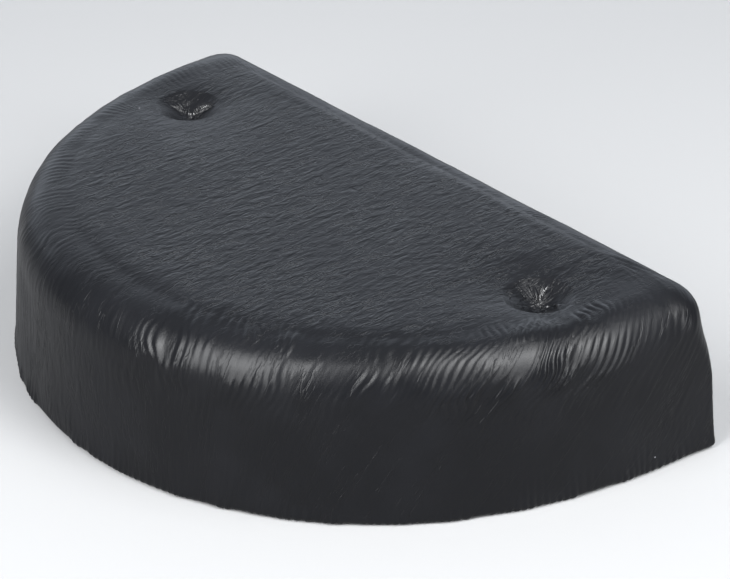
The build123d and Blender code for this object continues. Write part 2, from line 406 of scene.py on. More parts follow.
def tuft_pull(points, settings):
    """How far the cover is pulled down, with each point's distance from its tuft's axis and its
    turn round the place where that tuft's pleats run together.

    A wide bell-shaped dish plus a cone with a crisp mouth: the share of the way in from the
    mouth, to the cone's power. The pleats run together a little behind the axis and left of it."""
    dx = np.abs(points[..., 0]) - TUFT_X
    dy = points[..., 1] - TUFT_Y
    reach = np.hypot(dx, dy)
    side = np.sign(points[..., 0] + 1e-9)
    turn = np.arctan2(dy - GATHER_BACK, dx * side + GATHER_LEFT)
    dish = settings.tuft_dish * np.exp(-(reach / (settings.tuft_radius * DISH_SPREAD)) ** 2)
    inner = np.hypot(reach, CONE_TIP) / settings.tuft_radius
    funnel = settings.tuft_depth * np.clip(1 - inner, 0, 1) ** CONE_POWER
    on_top = ease(points[..., 2], TOP_Z - 9 * MM, TOP_Z - 1 * MM)
    return (dish + funnel) * on_top, reach, turn


def tuft_folds(points, reach, turn, settings):
    """Pleats that gather into each tuft, from 0 up.

    Narrow crests of a cosine of the turn, unevenly spaced, kinked on their way down, uneven in
    height and tallest towards the back, over a finer crumple close to the middle."""
    side = np.sign(points[..., 0] + 1e-9)
    radius = settings.tuft_radius
    uneven = turn + 0.26 * np.sin(2 * turn + 1.1 * side) + 0.14 * np.sin(5 * turn + 2.0 + side)
    kink = 0.9 * np.sin(reach / (1.5 * MM) + 3 * np.sin(turn * 2 + side))
    crumple = smooth_noise(points[..., 0] / (1.5 * MM), points[..., 1] / (1.5 * MM), 31)
    wave = np.cos(settings.fold_count * uneven + kink + 1.1 * crumple)
    crest = (0.5 + 0.5 * wave) ** 4
    tall = 0.55 + 0.45 * np.sin(3 * turn + 1.7 * side) + 0.50 * np.sin(7 * turn + 0.6)
    backward = np.exp(-(np.angle(np.exp(1j * (turn - FOLDS_FACE))) / 1.2) ** 2)
    tall = np.clip(tall, 0.08, 1.3) * (0.22 + 0.78 * backward)
    strength = ease(reach, 0.3 * MM, 2.4 * MM) * (1 - ease(reach, radius * 0.45, radius * 0.90))
    fine = np.abs(smooth_noise(points[..., 0] / (0.9 * MM), points[..., 1] / (1.3 * MM), 38))
    middle = 1 - ease(reach, 1.5 * MM, 4.5 * MM)
    return settings.fold_height * (crest * tall * strength + 0.22 * fine * middle)


SLANT_LEFT = -0.15          # how far the wall's creases lean, sideways for each step up
SLANT_RIGHT = 0.85
RIM_RISE = 42 * MM          # from the foot of the wall, along the cover, to the rounded edge
PUFF_MEAN = 0.4             # of the puffs' height, so that they end without a step
CREASE_LENGTH = 7.5 * MM    # that a crease keeps its height for, going up
PATCHES = 26                # uneven patches of creases round the outline
WAVES = 44                  # broad waves round the outline
WAVE_HEIGHT = 0.12 * MM
SMOOTH_X = 66 * MM          # middle of a smoother stretch of the front
SMOOTH_REACH = 11 * MM


def crease_lean(points, rise):
    """How far the creases have drifted along the outline at each height above or below the rim.

    They drift a little one way on the left and in the middle, and more the other way towards
    the right: a slant times the distance along the cover from the rim."""
    slant = SLANT_LEFT + (SLANT_RIGHT - SLANT_LEFT) * ease(points[..., 0], 15 * MM, 105 * MM)
    return slant * (rise - RIM_RISE)


def wall_creases(turn, rise, points, share, outline, settings):
    """Height of the creases in the wall and over the rounded edge, about their mean.

    Puffs lean with the height and fade in patches; they are strong over the rounded edge,
    faint on the wall and gone a little way in on the top. They are calm on the left, on a short
    stretch of the front and towards the back. Broad slow waves lie under them."""
    cells = round(outline / settings.wrinkle_pitch)
    leaning = turn - crease_lean(points, rise) / outline
    sharp = ring_puffs(leaning, rise, cells, CREASE_LENGTH, 3)
    patch = smooth_noise(turn * PATCHES, rise / (11 * MM), 44, PATCHES)
    patch = np.clip(0.80 + 0.80 * patch, 0.25, 1.0)
    z = points[..., 2]
    rim = ease(z, TOP_Z - 26 * MM, TOP_Z - 11 * MM) * (1 - ease(share, 0.0, 0.09))
    calm = 0.12 + 0.88 * ease(points[..., 0], 8 * MM, 45 * MM)
    calm = calm * (1 - 0.65 * np.exp(-((points[..., 0] - SMOOTH_X) / SMOOTH_REACH) ** 2))
    calm = calm * (1 - 0.93 * ease(points[..., 1], 24 * MM, 50 * MM))
    strength = (0.10 + 0.90 * rim * patch * calm) * (1 - ease(share, 0.01, 0.10))
    broad = smooth_noise(turn * WAVES, rise / (22 * MM), 71, WAVES) * WAVE_HEIGHT
    creases = (sharp - PUFF_MEAN) * strength * settings.wrinkle_height
    return creases + broad * (1 - ease(share, 0.0, 0.08))


GATHER_PITCH = 2.3 * MM
GATHER_RISE = 4.2 * MM      # over which the pleats die away up the wall


def hem_gathers(turn, rise, points, outline, settings):
    """Tight pleats just above the lower edge and fanning under it, from 0 up.

    Puffs that die away exponentially up the wall, over an uneven height, and are lower at the
    back."""
    cells = round(outline / GATHER_PITCH)
    pleats = ring_puffs(turn, rise, cells, 6 * MM, 57, bend=0.5)
    uneven = 1 + 0.7 * smooth_noise(turn * 90, rise * 0, 61, 90)
    z = points[..., 2]
    climb = np.exp(-np.maximum(z - HEM_Z, 0) / (GATHER_RISE * uneven))
    front = 0.55 + 0.45 * ease(-points[..., 1], -40 * MM, 20 * MM)
    return pleats * climb * front * settings.gather_height


FLARE_REACH = 9 * MM


def corner_flare(points, settings):
    """The folded hem that stands out at the two back corners, as a vector for each point.

    It dies away as a bell with the distance from the corner, and exponentially going up."""
    side = np.sign(points[..., 0] + 1e-9)
    away = np.hypot(np.abs(points[..., 0]) - HALF_LENGTH, points[..., 1] - BACK_Y)
    size = settings.corner_flare * np.exp(-(away / FLARE_REACH) ** 2)
    size = size * np.exp(-np.maximum(points[..., 2] - HEM_Z, 0) / FLARE_REACH)
    return np.stack([side * size * 0.9, size * 0.15, 0 * size], axis=-1)


PUFF_COLUMNS = 120
PUFF_DETAIL = 0.34
PUFF_CLOTH = {"quality": 6, "mass": 0.3, "tension_stiffness": 25, "compression_stiffness": 25,
              "shear_stiffness": 10, "bending_stiffness": 1.5, "use_pressure": True,
              "uniform_pressure_force": 4.0, "vertex_group_mass": "held"}
PUFF_FRAMES = 20
PUFF_CAP = 0.9 * MM
PUFF_SMOOTHING = 4          # times that the swelling is blended with its neighbours
HELD_RISE = 6 * MM          # height of the pinned foot of the wall
HELD_TUFT = 3.5 * MM        # radius of the pinned middle of each tuft


def puffed_out(settings):
    """How far the foam swells the cover, from a cloth simulation of a coarse copy.

    The hem, the foot of the wall and the tufts are pinned. Only the outward part of each move
    is kept, because the foam holds the cover up. It is capped and smoothed."""
    angle = even_columns(PUFF_COLUMNS, 0)[0]
    points, station = cover_grid(settings, PUFF_DETAIL, angle)
    pull, reach = tuft_pull(points, settings)[:2]
    points[..., 2] -= pull
    rows = len(station)
    top, low = points[-1].mean(axis=0), points[0].mean(axis=0)
    last = rows * PUFF_COLUMNS
    faces = [grid_faces(rows, PUFF_COLUMNS), fan_faces(last - PUFF_COLUMNS, PUFF_COLUMNS, last),
             fan_faces(0, PUFF_COLUMNS, last + 1)[:, ::-1]]
    vertices = np.concatenate([points.reshape(-1, 3), top[None], low[None]])
    coarse = bpy.data.objects.new("puff", make_mesh("puff", vertices, faces))
    bpy.context.scene.collection.objects.link(coarse)
    held = coarse.vertex_groups.new(name="held")
    pinned = (points[..., 2] < HEM_Z + HELD_RISE) | (reach < HELD_TUFT)
    held.add([int(i) for i in np.flatnonzero(pinned)] + [last + 1], 1.0, "REPLACE")
    cloth = coarse.modifiers.new("puff", "CLOTH")
    for name, value in PUFF_CLOTH.items():
        setattr(cloth.settings, name, value)
    cloth.settings.effector_weights.gravity = 0
    scene = bpy.context.scene
    for number in range(1, PUFF_FRAMES + 1):
        scene.frame_set(number)
    swollen = coarse.evaluated_get(bpy.context.evaluated_depsgraph_get()).to_mesh()
    moved = np.empty(len(vertices) * 3, np.float32)
    swollen.vertices.foreach_get("co", moved)
    scene.frame_set(1)
    bpy.data.objects.remove(coarse)
    lift = moved.reshape(-1, 3)[:last].reshape(points.shape) - points
    normal = grid_normals(points)
    outward = PUFF_CAP * np.tanh(np.maximum(np.sum(lift * normal, axis=-1), 0) / PUFF_CAP)
    for _ in range(PUFF_SMOOTHING):
        outward = (outward * 2 + np.roll(outward, 1, axis=1) + np.roll(outward, -1, axis=1)) / 4
        padded = np.pad(outward, ((1, 1), (0, 0)), mode="edge")
        outward = (outward * 2 + padded[:-2] + padded[2:]) / 4
    return normal * (outward * (station > 2)[:, None])[..., None], station


def swollen_grid(settings, detail, angle, turn, puff):
    """The cover's grid plus the simulated swelling, read smoothly between its coarse points."""
    points, station = cover_grid(settings, detail, angle)
    if puff is not None:
        lift, coarse_station = puff
        rows = np.interp(station, coarse_station, np.arange(len(coarse_station)))
        points = points + resample(lift, rows, turn * lift.shape[1])
    return points, station


def hem_room(station):
    """How far the cover may stand proud of its profile, row by row: hardly at all where the dust
    cloth lies on the hem, a little on the hem's bare edge, and freely on the wall."""
    level = station[:, None]
    return 0.01 * MM + 0.36 * MM * ease(level, 0.62, 0.75) + 3 * MM * ease(level, 1.3, 2.2)


RIM_STROKES = 0.3           # depth of the fine strokes over the rounded edge


def stroke_depths(points, station, share):
    """How deep the fine strokes are: deepest on the left of the wall, shallow over the rounded
    edge, and 1 a little way in on the top, each eased into the next."""
    left = 1 - ease(points[..., 0], -70 * MM, 0)
    right = ease(points[..., 0], 60 * MM, 105 * MM)
    over_rim = ease(station, 2.45, 3.3)[:, None]
    strokes = (0.42 + 1.25 * left - 0.05 * right) * (1 - over_rim) + RIM_STROKES * over_rim
    return strokes + (1 - RIM_STROKES) * ease(share, 0.0, 0.14)


def shape_cover(settings, detail, angle, turn, outline, puff):
    """Points of the finished cover, with the values that its material reads.

    The swollen grid is pulled down at the tufts, then moved along its normals by the creases,
    the hem's pleats and the tufts' pleats, and its back corners are flared. Also given are the
    share of wall, the tufts' pleats from 0 to 1, the strokes' depth, and the wall wrapped round
    a cylinder, on which the strokes follow the creases."""
    points, station = swollen_grid(settings, detail, angle, turn, puff)
    share = np.clip(station - 4, 0, 1)[:, None] + 0 * turn
    step = np.linalg.norm(np.diff(points, axis=0), axis=-1)
    rise = np.concatenate([np.zeros((1, len(turn))), np.cumsum(step, axis=0)])
    rise -= rise[np.searchsorted(station, 2.0)]
    turn = turn[None, :] + 0 * rise
    pull, reach, around = tuft_pull(points, settings)
    height = wall_creases(turn, rise, points, share, outline, settings)
    height += hem_gathers(turn, rise, points, outline, settings)
    near_tuft = 1 - ease(reach, settings.tuft_radius * 0.95, settings.tuft_radius * 1.6)
    height = height * (1 - near_tuft * (share > 0))
    height = np.minimum(height, hem_room(station))
    flare = corner_flare(points, settings)
    points[..., 2] -= pull
    normal = grid_normals(points)
    folds = tuft_folds(points, reach, around, settings) * ease(pull, 0.1 * MM, 1.0 * MM)
    drift = crease_lean(points, rise)
    strokes = stroke_depths(points, station, share)
    points = points + normal * (height + folds)[..., None] + flare
    circle = 2 * math.pi * (turn - drift / outline)
    ring = outline / (2 * math.pi)
    wrapped = np.stack([ring * np.cos(circle), ring * np.sin(circle), rise], axis=-1)
    upper = ease(points[..., 2], TOP_Z - 7 * MM, TOP_Z - 0.5 * MM)
    wall = np.where(share > 0, 0, 1 - upper * ease(station, 3.4, 4.0)[:, None])
    return points, wall, np.clip(folds / settings.fold_height, 0, 1), strokes, wrapped


class PAD_OT_vinyl_cover(bpy.types.Operator):
    """Build the vinyl cover with its tufts, creases, gathers and hem"""

    bl_idname = "pad.vinyl_cover"
    bl_label = "Vinyl cover"

    def execute(self, context):
        settings = context.scene.pad_cover
        detail, columns = ((COVER_DETAIL, COVER_COLUMNS))
        puff = puffed_out(settings)
        angle, turn, outline = even_columns(columns, TUFT_CROWD)
        points, wall, fold, strokes, wrapped = shape_cover(settings, detail, angle, turn, outline, puff)
        rows = len(points)
        inner = self.inner_face(settings, angle[::2], turn[::2], puff)
        inner_columns = inner.shape[1]
        count = inner_columns * len(inner)
        last = rows * columns
        top, inner_top = points[-1].mean(axis=0), inner[-1].mean(axis=0)
        vertices = np.concatenate([points.reshape(-1, 3), inner.reshape(-1, 3), top[None],
                                   inner_top[None]])
        pole = last + count
        faces = [grid_faces(rows, columns), fan_faces(last - columns, columns, pole),
                 grid_faces(len(inner), inner_columns, first=last)[:, ::-1],
                 fan_faces(pole - inner_columns, inner_columns, pole + 1)[:, ::-1],
                 ring_faces(last, 0, inner_columns)]
        piece = make_piece("vinyl_cover_skin", vertices, faces, "vinyl_cover",
                           vinyl_material(settings))
        rest = np.zeros(count + 2)
        for name, values in (("wall_share", wall), ("tuft_fold", fold), ("stroke_depth", strokes)):
            vertex_values(piece, name, np.concatenate([values.ravel(), rest]))
        wrapped = np.concatenate([wrapped.reshape(-1, 3), np.zeros((count + 2, 3))])
        vertex_values(piece, "wall_wrap", wrapped, "FLOAT_VECTOR")
        return {"FINISHED"}

    def inner_face(self, settings, angle, turn, puff):
        """The cover's smooth inner face, set in by the vinyl's thickness, with fewer rows."""
        points = swollen_grid(settings, INNER_DETAIL, angle, turn, puff)[0]
        points[..., 2] -= tuft_pull(points, settings)[0]
        return points - grid_normals(points) * VINYL_THICKNESS


FOAM_INSET = 1.4 * MM       # from the cover's outer face to the foam
FOAM_COLUMNS = 260
FOAM_DETAIL = 0.4


class PAD_OT_foam_block(bpy.types.Operator):
    """Build the foam core: the cover's own shape, set in by a little more than the vinyl"""

    bl_idname = "pad.foam_block"
    bl_label = "Foam core"

    def execute(self, context):
        settings = context.scene.pad_cover
        angle = even_columns(FOAM_COLUMNS, 0)[0]
        points = cover_grid(settings, FOAM_DETAIL, angle)[0]
        points[..., 2] -= tuft_pull(points, settings)[0]
        points -= grid_normals(points) * FOAM_INSET
        board_top = BOARD_HIGH[2]
        points = points[points[..., 2].min(axis=1) > board_top]
        base = points[0].copy()
        base[:, 2] = board_top
        middle = np.array([CENTRE[0], CENTRE[1], board_top])
        lower = [middle + (base - middle) * share for share in (0.25, 0.5, 0.75, 1.0)]
        points = np.concatenate([np.stack(lower), points])
        rows = len(points)
        last = rows * FOAM_COLUMNS
        vertices = np.concatenate([points.reshape(-1, 3), middle[None],
                                   points[-1].mean(axis=0)[None]])
        faces = [grid_faces(rows, FOAM_COLUMNS), fan_faces(last - FOAM_COLUMNS, FOAM_COLUMNS, last + 1),
                 fan_faces(0, FOAM_COLUMNS, last)[:, ::-1]]
        piece = make_piece("foam_block", vertices, faces, "foam_core",
                           foam_material(context.scene.pad_inside))
        return {"FINISHED"}


# ------------------------------------------------------------------------------ dust cloth
CLOTH_INSET = COVER_HIGH[1] - DUST_HIGH[1]
CLOTH_THICKNESS = 0.35 * MM
CLOTH_SLACK = 0.06 * MM     # how far the cloth waves between its staples
CLOTH_ROWS = 46
CLOTH_SPAN = 44             # columns between two corners of a half


def half_outline(hole):
    """Directions and distances from a bolt hole to the outline of its half of the dust cloth.

    The half is bounded by the middle line x = 0 and the D outline; directions stand evenly
    between the corners, so that every corner is a point of the grid."""
    corner = (HALF_LENGTH - CLOTH_INSET, BACK_Y - CLOTH_INSET)
    stops = [(0.0, corner[1]), (0.0, COVER_LOW[1] + CLOTH_INSET), corner]
    bearings = np.array([math.atan2(y - hole[1], x - hole[0]) for x, y in stops])
    bearings = bearings[0] + (bearings - bearings[0]) % (2 * math.pi)
    closed = np.append(bearings, bearings[0] + 2 * math.pi)
    angle = np.concatenate([np.linspace(low, high, CLOTH_SPAN * count, endpoint=False)
                            for low, high, count in zip(closed, closed[1:], (1, 3, 2))])
    outline = plan_reach(angle, CLOTH_INSET, 0.0, 0.4 * MM, hole)
    to_middle = hole[0] / np.maximum(-np.cos(angle), 1e-9)
    return angle, np.minimum(outline, to_middle)


class PAD_OT_dust_cloth(bpy.types.Operator):
    """Build the non-woven dust cloth under the board, with its two bolt holes"""

    bl_idname = "pad.dust_cloth"
    bl_label = "Dust cloth"

    def execute(self, context):
        settings = context.scene.pad_inside
        hole, radius = (NUT_X, NUT_Y), settings.bolt_hole_radius
        angle, reach = half_outline(hole)
        share = np.linspace(0, 1, CLOTH_ROWS)[:, None]
        distance = radius + (reach - radius) * share
        x = hole[0] + distance * np.cos(angle)
        y = hole[1] + distance * np.sin(angle)
        wave = 0.5 * smooth_noise(x / (9 * MM), y / (14 * MM), 83) + 0.5 * smooth_noise(
            x / (34 * MM), y / (30 * MM), 85)
        z = (DUST_LOW[2] + DUST_HIGH[2]) / 2 + wave * CLOTH_SLACK * ease(share, 0, 0.1) * ease(x, 0, 8 * MM)
        right = np.stack([x, y, z], axis=-1).reshape(-1, 3)
        sheet = grid_faces(CLOTH_ROWS, len(angle))
        vertices = np.concatenate([right, right * np.array([-1, 1, 1])])
        faces = [sheet[:, ::-1], sheet + len(right)]
        piece = make_piece("dust_cloth", vertices, faces, "dust_cover",
                           dust_cloth_material(settings))
        joined = bmesh.new()
        joined.from_mesh(piece.data)
        bmesh.ops.remove_doubles(joined, verts=joined.verts, dist=0.002 * MM)
        joined.to_mesh(piece.data)
        joined.free()
        wall = piece.modifiers.new("thickness", "SOLIDIFY")
        wall.thickness = CLOTH_THICKNESS
        wall.offset = 0
        return {"FINISHED"}


# ------------------------------------------------------------------------------ tufting tapes
TAPE_WIDTH = round(float(TAPE_HIGH[1] - TAPE_LOW[1]), 5)
TAPE_TAIL = TUFT_X - TAPE_LOW[0]            # from the tuft's axis to the tape's free end
TAPE_BEND = 1.5 * MM                        # of the tape's middle round the slot's edge
TAPE_CLEARANCE = 0.03 * MM
TAPE_SECTION = 40


def tape_route(top):
    """The tape's middle line in the plane of x and z, from its sewn top to its free end, with
    the normal at each point: straight down, a quarter turn, and flat under the board."""
    level = BOARD_LOW[2] - TAPE_THICKNESS / 2
    drop = np.linspace(top, level + TAPE_BEND, 60, endpoint=False)
    turn = np.linspace(0, math.pi / 2, 14, endpoint=False)
    tail = np.linspace(TUFT_X - TAPE_BEND, TUFT_X - TAPE_TAIL, 40)
    x = np.concatenate([0 * drop + TUFT_X, TUFT_X - TAPE_BEND * (1 - np.cos(turn)), tail])
    z = np.concatenate([drop, level + TAPE_BEND * (1 - np.sin(turn)), 0 * tail + level])
    lean = np.concatenate([0 * drop, turn, 0 * tail + math.pi / 2])
    return x, z, np.cos(lean), -np.sin(lean)


class PAD_OT_tuft_tapes(bpy.types.Operator):
    """Build the two cotton tapes that hold the tufts down, from the vinyl to under the board"""

    bl_idname = "pad.tuft_tapes"
    bl_label = "Tufting tapes"

    def execute(self, context):
        cover, settings = context.scene.pad_cover, context.scene.pad_inside
        top = TOP_Z - cover.tuft_depth - cover.tuft_dish - VINYL_THICKNESS
        x, z, normal_x, normal_z = (line[:, None] for line in tape_route(top))
        around = np.arange(TAPE_SECTION) / TAPE_SECTION * 2 * math.pi
        flat = np.sign(np.cos(around)) * np.abs(np.cos(around)) ** 0.25 * (TAPE_WIDTH / 2)
        thick = np.sin(around) * (TAPE_THICKNESS / 2 - TAPE_CLEARANCE)
        y = TUFT_Y + flat + 0 * x
        points = np.stack([x + normal_x * thick, y, z + normal_z * thick], axis=-1)
        rows = len(points)
        length = np.concatenate([[0], np.cumsum(np.hypot(np.diff(x[:, 0]), np.diff(z[:, 0])))])
        weave = np.stack([y - TUFT_Y, length[:, None] + 0 * y, 0 * y], axis=-1).reshape(-1, 3)
        last = rows * TAPE_SECTION
        vertices = np.concatenate([points.reshape(-1, 3), points[0].mean(axis=0)[None],
                                   points[-1].mean(axis=0)[None]])
        faces = [grid_faces(rows, TAPE_SECTION), fan_faces(0, TAPE_SECTION, last)[:, ::-1],
                 fan_faces(last - TAPE_SECTION, TAPE_SECTION, last + 1)]
        material = tape_material(settings)
        ends = np.array([[0, 0, 0], [0, length[-1], 0]])
        for side, mirror in (("left", -1), ("right", 1)):
            turned = [group[:, ::-1] if mirror > 0 else group for group in faces]
            piece = make_piece("tuft_tape_woven_" + side, vertices * np.array([mirror, 1, 1]), turned,
                               "tuft_tape_" + side, material)
            vertex_values(piece, "weave", np.concatenate([weave, ends]), "FLOAT_VECTOR")
        return {"FINISHED"}


# ------------------------------------------------------------------------------ node groups
def new_group(name, inputs, outputs):
    """A shader node group with named inputs (name, kind, default) and outputs (name, kind)."""
    group = bpy.data.node_groups.new(name, "ShaderNodeTree")
    for title, kind, default in inputs:
        socket = group.interface.new_socket(title, in_out="INPUT", socket_type="NodeSocket" + kind)
        if default is not None:
            socket.default_value = default
    for title, kind in outputs:
        group.interface.new_socket(title, in_out="OUTPUT", socket_type="NodeSocket" + kind)
    return group, group.nodes.new("NodeGroupInput").outputs, group.nodes.new("NodeGroupOutput").inputs


def feed(tree, socket, value):
    """Links another node's output to a socket, or sets the socket's own value."""
    if isinstance(value, bpy.types.NodeSocket):
        tree.links.new(value, socket)
    else:
        socket.default_value = value


def add_node(tree, kind, settings=None, **links):
    """A node with its settings; each link is an input's name (spaces as _) and what feeds it."""
    node = tree.nodes.new("ShaderNode" + kind)
    for name, value in (settings or {}).items():
        setattr(node, name, value)
    for name, value in links.items():
        feed(tree, node.inputs[int(name[1:]) if name[0] == "_" else name.replace("_", " ")], value)
    return node


def math_node(tree, operation, *values):
    """A math node's result."""
    node = add_node(tree, "Math", {"operation": operation},
                    **{"_" + str(index): value for index, value in enumerate(values)})
    return node.outputs[0]


def stretched(tree, vector, scales):
    """Coordinates multiplied by a scale for each axis."""
    node = add_node(tree, "VectorMath", {"operation": "MULTIPLY"}, _0=vector, _1=scales)
    return node.outputs[0]


def remap(tree, value, low, high, to_low=0.0, to_high=1.0):
    """A value eased from one range to another."""
    node = add_node(tree, "MapRange", {"interpolation_type": "SMOOTHSTEP"}, Value=value,
                    From_Min=low, From_Max=high, To_Min=to_low, To_Max=to_high)
    return node.outputs[0]


def stroke_group():
    """Short fine creases: the zero lines of stretched noise, broken up by broader noise."""
    group, given, result = new_group(
        "crease_strokes", [("Vector", "Vector", None), ("Scale", "Vector", (500, 100, 100))],
        [("Height", "Float"), ("Mask", "Float")])
    scaled = stretched(group, given["Vector"], given["Scale"])
    line = add_node(group, "TexNoise", Vector=scaled, Scale=1.0, Detail=2.0, Roughness=0.55,
                    Distortion=0.25)
    patch = add_node(group, "TexNoise", Vector=scaled, Scale=0.43, Detail=1.0)
    away = math_node(group, "ABSOLUTE", math_node(group, "SUBTRACT", line.outputs[0], 0.5))
    crease = remap(group, away, 0.0, 0.055, 1.0, 0.0)
    broken = remap(group, patch.outputs[0], 0.42, 0.60)
    # The crease lines' mask: it cuts the grooves here, and the vinyl also uses it to paint shade along them.
    mask = math_node(group, "MULTIPLY", crease, broken)
    height = math_node(group, "SUBTRACT", math_node(group, "MULTIPLY", line.outputs[0], 1.1),
                       math_node(group, "MULTIPLY", mask, 0.42))
    group.links.new(height, result["Height"])
    group.links.new(mask, result["Mask"])
    return group


def pebble_group():
    """A fine pebbled skin: rounded cells over soft noise. Also the cells of foam."""
    group, given, result = new_group(
        "pebbles", [("Vector", "Vector", None), ("Size", "Float", 2000.0)],
        [("Height", "Float"), ("Mottle", "Float")])
    cells = add_node(group, "TexVoronoi", Vector=given["Vector"], Scale=given["Size"])
    soft = add_node(group, "TexNoise", Vector=given["Vector"],
                    Scale=math_node(group, "MULTIPLY", given["Size"], 0.35), Detail=3.0)
    broad = add_node(group, "TexNoise", Vector=given["Vector"],
                     Scale=math_node(group, "MULTIPLY", given["Size"], 0.02), Detail=2.0)
    squared = math_node(group, "POWER", cells.outputs["Distance"], 2.0)
    round_cells = math_node(group, "SUBTRACT", 1.0, squared)
    height = math_node(group, "ADD", math_node(group, "MULTIPLY", round_cells, 0.5),
                       math_node(group, "MULTIPLY", soft.outputs[0], 0.7))
    group.links.new(height, result["Height"])
    group.links.new(broad.outputs[0], result["Mottle"])
    return group


def speck_group():
    """Sparse specks of dust and lint: small discs in some cells of a coarse pattern."""
    group, given, result = new_group(
        "dust_specks", [("Vector", "Vector", None), ("Cells", "Float", 120.0), ("Radius", "Float", 0.035)],
        [("Mask", "Float")])
    cells = add_node(group, "TexVoronoi", Vector=given["Vector"], Scale=given["Cells"], Randomness=1.0)
    disc = math_node(group, "LESS_THAN", cells.outputs["Distance"], given["Radius"])
    parts = add_node(group, "SeparateColor", Color=cells.outputs["Color"])
    some = math_node(group, "GREATER_THAN", parts.outputs[0], 0.55)
    group.links.new(math_node(group, "MULTIPLY", disc, some), result["Mask"])
    return group


def weave_group():
    """A plain weave: two crossed waves that take turns on top, with slubs along the threads."""
    group, given, result = new_group(
        "plain_weave", [("Vector", "Vector", None), ("Threads", "Float", 1500.0)],
        [("Height", "Float"), ("Slub", "Float")])
    parts = add_node(group, "SeparateXYZ", Vector=given["Vector"])
    waves = []
    for axis in (0, 1):
        phase = math_node(group, "MULTIPLY", parts.outputs[axis], given["Threads"])
        sine = math_node(group, "SINE", math_node(group, "MULTIPLY", phase, math.pi))
        waves.append(math_node(group, "ABSOLUTE", sine))
    turns = add_node(group, "TexChecker", Vector=given["Vector"], Scale=given["Threads"])
    height = blend_value(group, turns.outputs["Fac"], *waves)
    slub = add_node(group, "TexNoise", Vector=stretched(group, given["Vector"], (1200, 160, 1)),
                    Scale=1.0, Detail=2.0)
    group.links.new(height, result["Height"])
    group.links.new(slub.outputs[0], result["Slub"])
    return group


def tarnish_group():
    """Dull spots and fine drawn scratches on plated steel."""
    group, given, result = new_group(
        "tarnish", [("Vector", "Vector", None), ("Size", "Float", 400.0)],
        [("Mask", "Float"), ("Height", "Float")])
    spots = add_node(group, "TexNoise", Vector=given["Vector"], Scale=given["Size"], Detail=5.0,
                     Roughness=0.65)
    lines = add_node(group, "TexNoise", Vector=stretched(group, given["Vector"], (300, 4000, 4000)),
                     Scale=1.0, Detail=2.0)
    group.links.new(remap(group, spots.outputs[0], 0.42, 0.68), result["Mask"])
    group.links.new(lines.outputs[0], result["Height"])
    return group


GROUP_MAKERS = {"crease_strokes": stroke_group, "pebbles": pebble_group, "dust_specks": speck_group,
                "plain_weave": weave_group, "tarnish": tarnish_group}


def place_group(tree, name, **links):
    """A node group's node in a material; the group is built the first time that it is used."""
    node = tree.nodes.new("ShaderNodeGroup")
    node.node_tree = bpy.data.node_groups.get(name) or GROUP_MAKERS[name]()
    for title, value in links.items():
        feed(tree, node.inputs[title], value)
    return node.outputs


# ------------------------------------------------------------------------------ materials
def new_material(name, roughness, metallic=0.0, specular=0.5):
    """A node material: its tree, its Principled shader and its Object coordinates."""
    material = bpy.data.materials.new(name)
    material.use_nodes = True
    tree = material.node_tree
    shader = tree.nodes["Principled BSDF"]
    shader.inputs["Roughness"].default_value = roughness
    shader.inputs["Metallic"].default_value = metallic
    shader.inputs["Specular IOR Level"].default_value = specular
    return material, tree, shader, add_node(tree, "TexCoord").outputs["Object"]


def blend_colour(tree, share, first, second):
    """A colour between two, by a share from 0 to 1."""
    return add_node(tree, "Mix", {"data_type": "RGBA"}, _0=share, _6=first, _7=second).outputs[2]


def blend_value(tree, share, first, second):
    """A number between two, by a share from 0 to 1."""
    return add_node(tree, "Mix", {"data_type": "FLOAT"}, _0=share, _2=first, _3=second).outputs[0]


def attribute(tree, name, output="Fac"):
    """A value that the mesh holds for each vertex."""
    return add_node(tree, "Attribute", {"attribute_name": name}).outputs[output]


def tinted(colour, factor=1.0):
    """A colour setting made paler or darker by a factor, with its alpha."""
    return tuple(channel * factor for channel in colour) + (1,)


def bump(tree, height, distance, strength=1.0, under=None):
    """The normal that a height gives, over the normal of what lies under it."""
    links = {"Height": height, "Distance": distance, "Strength": strength}
    if under is not None:
        links["Normal"] = under
    return add_node(tree, "Bump", **links).outputs[0]


# Painted shade: the near-black colour that darkens the vinyl along its fine creases.
CREASE_SHADE_COLOUR = (0.004, 0.004, 0.005, 1)
DUST_COLOUR = (0.34, 0.34, 0.36, 1)
LINT_COLOUR = (0.25, 0.25, 0.25, 1)
GLUE_COLOUR = (0.06, 0.03, 0.015, 1)
WIRE_COLOURS = (0.62, 0.63, 0.64, 1), (0.36, 0.37, 0.38, 1)     # bright and dull
ZINC_COLOURS = (0.74, 0.73, 0.68, 1), (0.47, 0.46, 0.43, 1)


